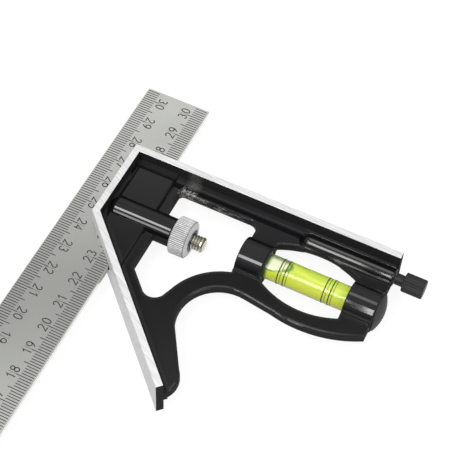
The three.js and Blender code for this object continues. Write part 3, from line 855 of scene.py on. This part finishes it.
def rolled_steel():
    """Satin stainless with a fine grain along the rule."""
    finish = Finish("rule_steel", Metallic=1.0)
    grain = finish.noise(finish.stretched(RULE_GRAIN_SCALE), **GRAIN_NOISE)
    cloud = finish.noise(finish.place, RULE_CLOUD_SCALE, **RULE_CLOUD_NOISE)
    tone = finish.ramp(finish.blend(RULE_GRAIN_SHARE, cloud, grain), *RULE_TONE_RANGE)
    finish.set("Base Color", finish.mix(tone, RULE_DARK, RULE_LIGHT))
    finish.set("Roughness", finish.ramp(tone, 0.0, 1.0, *RULE_ROUGHNESS))
    finish.bump(grain, RULE_RELIEF_SHARE, RULE_RELIEF_HEIGHT, finish.rounded(RULE_EDGE_RADIUS))
    return finish.material


def mark_ink():
    """The dark etch of the scale."""
    finish = Finish("mark_ink", Roughness=INK_ROUGHNESS, Specular_IOR_Level=INK_SPECULAR)
    patchy = finish.noise(finish.place, INK_SCALE)
    finish.set("Base Color", finish.mix(patchy, grey(INK_DARK), grey(INK_LIGHT)))
    return finish.material


# Small metal pieces


def plated(name, crest, root_shade, axis_place, root_radius, crest_radius, metallic=1.0, roughness=0.3,
           grain=TURNED_GRAIN, grain_low=PLATING_LOW, bore_shade_radius=None):
    """Plating with a fine grain, painted shade in the thread or knurl roots and, within a radius, painted
    shade round the bore.
    """
    finish = Finish(name, Metallic=metallic)
    turning = finish.noise(finish.stretched(grain))
    cloud = finish.noise(finish.place, PLATING_CLOUD_SCALE)
    tone = finish.ramp(finish.blend(PLATING_TURNED_SHARE, cloud, turning), *PLATING_RANGE, grain_low, 1.0)
    end_on, _, _ = finish.split(finish.facing)
    on_end = finish.ramp(finish.math("ABSOLUTE", end_on), *END_RANGE)
    # Painted shade: the thread or knurl roots are coloured darker than the crests
    height = finish.ramp(finish.radius_from(axis_place), root_radius, crest_radius)
    height = finish.math("MAXIMUM", height, on_end)
    tone = finish.math("MAXIMUM", tone, on_end)
    colour = finish.mix(height, root_shade, crest)
    # Painted shade round the bore's mouth on the nut's face, made patchy by the cloud
    if bore_shade_radius:
        bore_shade = finish.ramp(finish.radius_from(axis_place), bore_shade_radius, bore_shade_radius * BORE_SHADE_FULL_SHARE)
        bore_shade = finish.math("MULTIPLY", bore_shade, finish.ramp(cloud, *BORE_SHADE_RANGE, *BORE_SHADE_SHARES))
        colour = finish.mix(bore_shade, colour, grey(BORE_SHADE_GREY))
    finish.set("Base Color", finish.mix(tone, grey(0.0), colour))
    finish.set("Roughness", finish.ramp(height, 0.0, 1.0, roughness + ROOT_DULLNESS, roughness))
    finish.bump(turning, PLATING_RELIEF_SHARE, RELIEF_HEIGHT)
    return finish.material


def bolt_plating():
    """Slightly warm plating with painted shade in the thread roots."""
    return plated("bolt_plating", BOLT_CREST, BOLT_ROOT_SHADE, bolt_middle,
                  bolt_radius - THREAD_DEPTH, bolt_radius, metallic=0.85, roughness=0.25)


def nut_plating():
    """Bright, softly lit plating with streaks along the knurl, painted shade in its roots and painted shade
    round the bolt.
    """
    return plated("nut_plating", grey(NUT_CREST), grey(NUT_ROOT_SHADE), bolt_middle,
                  nut_radius - KNURL_DEPTH, nut_radius, metallic=0.15, roughness=0.5,
                  grain=KNURL_GRAIN, grain_low=KNURL_LOW, bore_shade_radius=bolt_radius * BORE_SHADE_REACH_SHARE)


def spring_wire():
    """Plain drawn wire."""
    return plated("spring_wire", grey(WIRE_GREY), grey(WIRE_GREY), bolt_middle, 0.0, bolt_radius)


def bushing_brass():
    """Darkened brass, with painted shade deeper towards its axis."""
    return plated("bushing_brass", grey(BUSHING_CREST, BRASS_WARMTH), grey(BUSHING_ROOT_SHADE, BRASS_WARMTH),
                  scriber_middle, 0.0, scriber_radius, roughness=0.4)


def needle_steel():
    """Ground and hardened steel."""
    return plated("needle_steel", grey(NEEDLE_GREY), grey(NEEDLE_GREY), scriber_middle, 0.0, scriber_radius)


# Plastic


def moulded(name, level, roughness):
    """Plastic or blackened metal with a fine grain."""
    finish = Finish(name, Specular_IOR_Level=MOULDED_SPECULAR)
    grain = finish.noise(finish.place, MOULDED_SCALE, **GRAIN_NOISE)
    dark, light = [grey(level * tone) for tone in MOULDED_TONES]
    finish.set("Base Color", finish.mix(grain, dark, light))
    finish.set("Roughness", finish.ramp(grain, *MOULDED_RANGE, roughness, roughness + MOULDED_DULLNESS))
    finish.bump(grain, MOULDED_RELIEF_SHARE, MOULDED_RELIEF_HEIGHT, finish.rounded(SMALL_EDGE_RADIUS))
    return finish.material


def clear_tube():
    """Clear acrylic: see-through where it is faced, and denser along its outline."""
    finish = Finish("clear_tube", Roughness=TUBE_ROUGHNESS, Specular_IOR_Level=LEVEL_SPECULAR)
    facing = finish.node("ShaderNodeLayerWeight")
    facing.inputs["Blend"].default_value = FACING_BLEND
    haze = finish.noise(finish.place, HAZE_SCALE)
    finish.set("Base Color", finish.mix(haze, TUBE_DARK, TUBE_LIGHT))
    finish.set("Alpha", finish.ramp(facing.outputs["Facing"], *FACING_RANGE, *TUBE_ALPHA))
    return finish.material


# Liquid


def tube_angle(finish):
    """The angle round the tube's line, from straight up and towards the square's open side."""
    _, y, z = finish.split(finish.place)
    across = finish.math("SUBTRACT", tube_middle.y, y)
    up = finish.math("SUBTRACT", z, tube_middle.z)
    return finish.math("ARCTAN2", across, up)


def with_bubble(finish, colour, x, angle):
    """The liquid's colour with the pale bubble, its green rim and painted shade above it, where the dark
    head is seen through the bubble.
    """
    along = finish.math("DIVIDE", finish.math("SUBTRACT", x, BUBBLE_START), BUBBLE_LENGTH)
    round_share = finish.math("DIVIDE", angle, BUBBLE_HALF_ANGLE)
    inside = finish.math("ADD", finish.math("POWER", along, 2.0), finish.math("POWER", round_share, 2.0))
    colour = finish.mix(finish.ramp(inside, *PALE_RANGE), colour, BUBBLE_PALE)
    rim = finish.near(inside, RIM_MIDDLE, RIM_REACH, RIM_SOFT)
    colour = finish.mix(finish.math("MULTIPLY", rim, RIM_SHARE), colour, BUBBLE_RIM)
    # Painted shade on the tube's upper edge by the left boss, where the dark head is seen through the bubble
    from_boss = finish.math("SUBTRACT", x, SIGHT_START)
    seen_shade = finish.math("MULTIPLY", finish.ramp(angle, *SEEN_SHADE_ANGLES), finish.ramp(from_boss, *SEEN_SHADE_STRETCH))
    return finish.mix(finish.math("MULTIPLY", seen_shade, SEEN_SHADE_SHARE), colour, BUBBLE_SEEN_SHADE)


def with_shadows(finish, colour, x):
    """The liquid's colour with the rings' shadows and the left boss's."""
    for offset in RING_OFFSETS:
        middle = SIGHT_START + offset + RING_SHADOW_STEP
        shadow = finish.near(x, middle, RING_SHADOW_WIDTH / 2, RING_SHADOW_WIDTH / 2)
        colour = finish.mix(finish.math("MULTIPLY", shadow, RING_SHADOW_SHARE), colour, RING_SHADOW)
    from_boss = finish.math("SUBTRACT", x, SIGHT_START)
    return finish.mix(finish.ramp(from_boss, BOSS_SHADOW_END, BOSS_SHADOW_FULL), colour, BOSS_SHADOW)


def level_fill():
    """Yellow-green liquid, with painted light gathered on its lower side, and with its bubble and painted
    shadows.
    """
    finish = Finish("level_liquid", Roughness=LIQUID_ROUGHNESS, Specular_IOR_Level=LEVEL_SPECULAR)
    x, _, _ = finish.split(finish.place)
    angle = tube_angle(finish)
    cloud = finish.noise(finish.stretched(LIQUID_CLOUD_SCALE))
    # Painted light: the lower side lighter, where the tube gathers light onto it
    colour = finish.mix(finish.ramp(angle, *LIT_LOWER_ANGLES), LIQUID_UPPER_SHADED, LIQUID_LOWER_LIT)
    colour = finish.mix(finish.ramp(cloud, *LIQUID_CLOUD_RANGE), colour, LIQUID_CLOUD)
    colour = with_bubble(finish, colour, x, angle)
    finish.set("Base Color", with_shadows(finish, colour, x))
    return finish.material


materials = {
    "square_head": painted_head(),
    "steel_rule": rolled_steel(),
    "clamp_bolt": bolt_plating(),
    "clamp_nut": nut_plating(),
    "clamp_spring": spring_wire(),
    "vial_stopper": moulded("stopper_plastic", STOPPER_GREY, roughness=0.5),
    "vial_packing_left": moulded("packing", PACKING_GREY, roughness=0.8),
    "vial_packing_right": moulded("packing", PACKING_GREY, roughness=0.8),
    "vial_end_plug": moulded("plug_plastic", PLUG_GREY, roughness=0.5),
    "scriber_bushing": bushing_brass(),
    "scriber_needle": needle_steel(),
    "scriber_knob": moulded("knob_black", KNOB_GREY, roughness=0.42),
}
for name, node in nodes.items():
    if name in materials:
        node.data.materials.clear()
        node.data.materials.append(materials[name])
    shade(node, smooth=name not in FLAT_PIECES)

ink = mark_ink()
for piece in [front_marks, back_marks, *rings]:
    piece.data.materials.append(ink)
level_liquid.data.materials.append(level_fill())
level_tube.data.materials.append(clear_tube())


# Floor, light and camera


def shown_share(tree_nodes):
    """One for camera, glossy and transmission rays, and zero for the rays that light the object."""
    path = tree_nodes.node("ShaderNodeLightPath").outputs
    seen = path["Is Camera Ray"]
    for other in ("Is Glossy Ray", "Is Transmission Ray"):
        seen = tree_nodes.math("MAXIMUM", seen, path[other])
    return seen


def white_floor():
    """A pale floor under the head, seen as white and keeping the object's shadow."""

    def build(shape):
        bmesh.ops.create_grid(shape, x_segments=FLOOR_CELLS, y_segments=FLOOR_CELLS, size=FLOOR_SIZE / 2)

    floor = new_piece("floor", build)
    floor.location = (0.0, 0.0, cad_low.z - FLOOR_GAP)
    finish = Finish("floor_white", Roughness=FLOOR_ROUGHNESS, Specular_IOR_Level=FLOOR_SPECULAR)
    finish.set("Base Color", grey(FLOOR_SHADE))
    finish.set("Emission Color", WHITE)
    finish.set("Emission Strength", finish.math("MULTIPLY", shown_share(finish), FLOOR_GLOW))
    floor.data.materials.append(finish.material)


def studio_world():
    """Soft light from all round: a bright ceiling with one darker band, and dimmer walls."""
    world = bpy.data.worlds.new("studio")
    bpy.context.scene.world = world
    world.use_nodes = True
    sky = Nodes(world.node_tree)
    background = world.node_tree.nodes["Background"].inputs
    way = sky.node("ShaderNodeTexCoord").outputs["Generated"]
    _, _, rise = sky.split(way)
    light = sky.ramp(rise, WALL_RISE, CEILING_RISE, WALL_LIGHT, CEILING_LIGHT)
    from_band = sky.math("ABSOLUTE", sky.math("SUBTRACT", rise, BAND_RISE))
    band = sky.ramp(from_band, 0.0, BAND_REACH, BAND_DIP, 0.0)
    sky.feed(background["Color"], WHITE)
    sky.feed(background["Strength"], sky.math("SUBTRACT", light, band))


def softbox(name, side, rise, width, height, radiance):
    """A rectangular lamp that faces the head, by its place across and its angle up from the open side."""
    data = bpy.data.lights.new(name, "AREA")
    data.shape = "RECTANGLE"
    data.size = width
    data.size_y = height
    data.energy = radiance * math.pi * width * height
    lamp = bpy.data.objects.new(name, data)
    reach = math.sqrt(LAMP_DISTANCE ** 2 - side ** 2)
    angle = math.radians(rise)
    out = Vector((0.0, -math.cos(angle), math.sin(angle)))
    lamp.location = LAMP_CENTRE + Vector((side, 0.0, 0.0)) + out * reach
    across = Vector((1.0, 0.0, 0.0))
    turn = Matrix((across, out.cross(across), out)).transposed()
    lamp.rotation_euler = turn.to_euler()
    bpy.context.scene.collection.objects.link(lamp)


def photo_camera():
    """The camera of the photograph."""
    data = bpy.data.cameras.new("photo_camera")
    data.sensor_width = SENSOR
    data.lens = FOCAL_PIXELS * SENSOR / max(FRAME_WIDTH, FRAME_HEIGHT)
    data.clip_start = NEAR_CLIP
    data.clip_end = FAR_CLIP
    camera = bpy.data.objects.new("photo_camera", data)
    bpy.context.scene.collection.objects.link(camera)
    back = Vector((
        math.sin(CAMERA_AZIMUTH) * math.cos(CAMERA_ELEVATION),
        -math.cos(CAMERA_AZIMUTH) * math.cos(CAMERA_ELEVATION),
        math.sin(CAMERA_ELEVATION),
    ))
    level_right = Vector((0, 0, 1)).cross(back).normalized()
    level_up = back.cross(level_right)
    right = level_right * math.cos(CAMERA_ROLL) + level_up * math.sin(CAMERA_ROLL)
    up = back.cross(right)
    turn = Matrix((right, up, back)).transposed().to_4x4()
    camera.matrix_world = Matrix.Translation(CAMERA_TARGET + back * CAMERA_DISTANCE) @ turn
    bpy.context.scene.camera = camera


white_floor()
studio_world()
for name, lamp in LAMPS.items():
    softbox(name, **lamp)
photo_camera()
bpy.context.scene.view_settings.view_transform = "Standard"
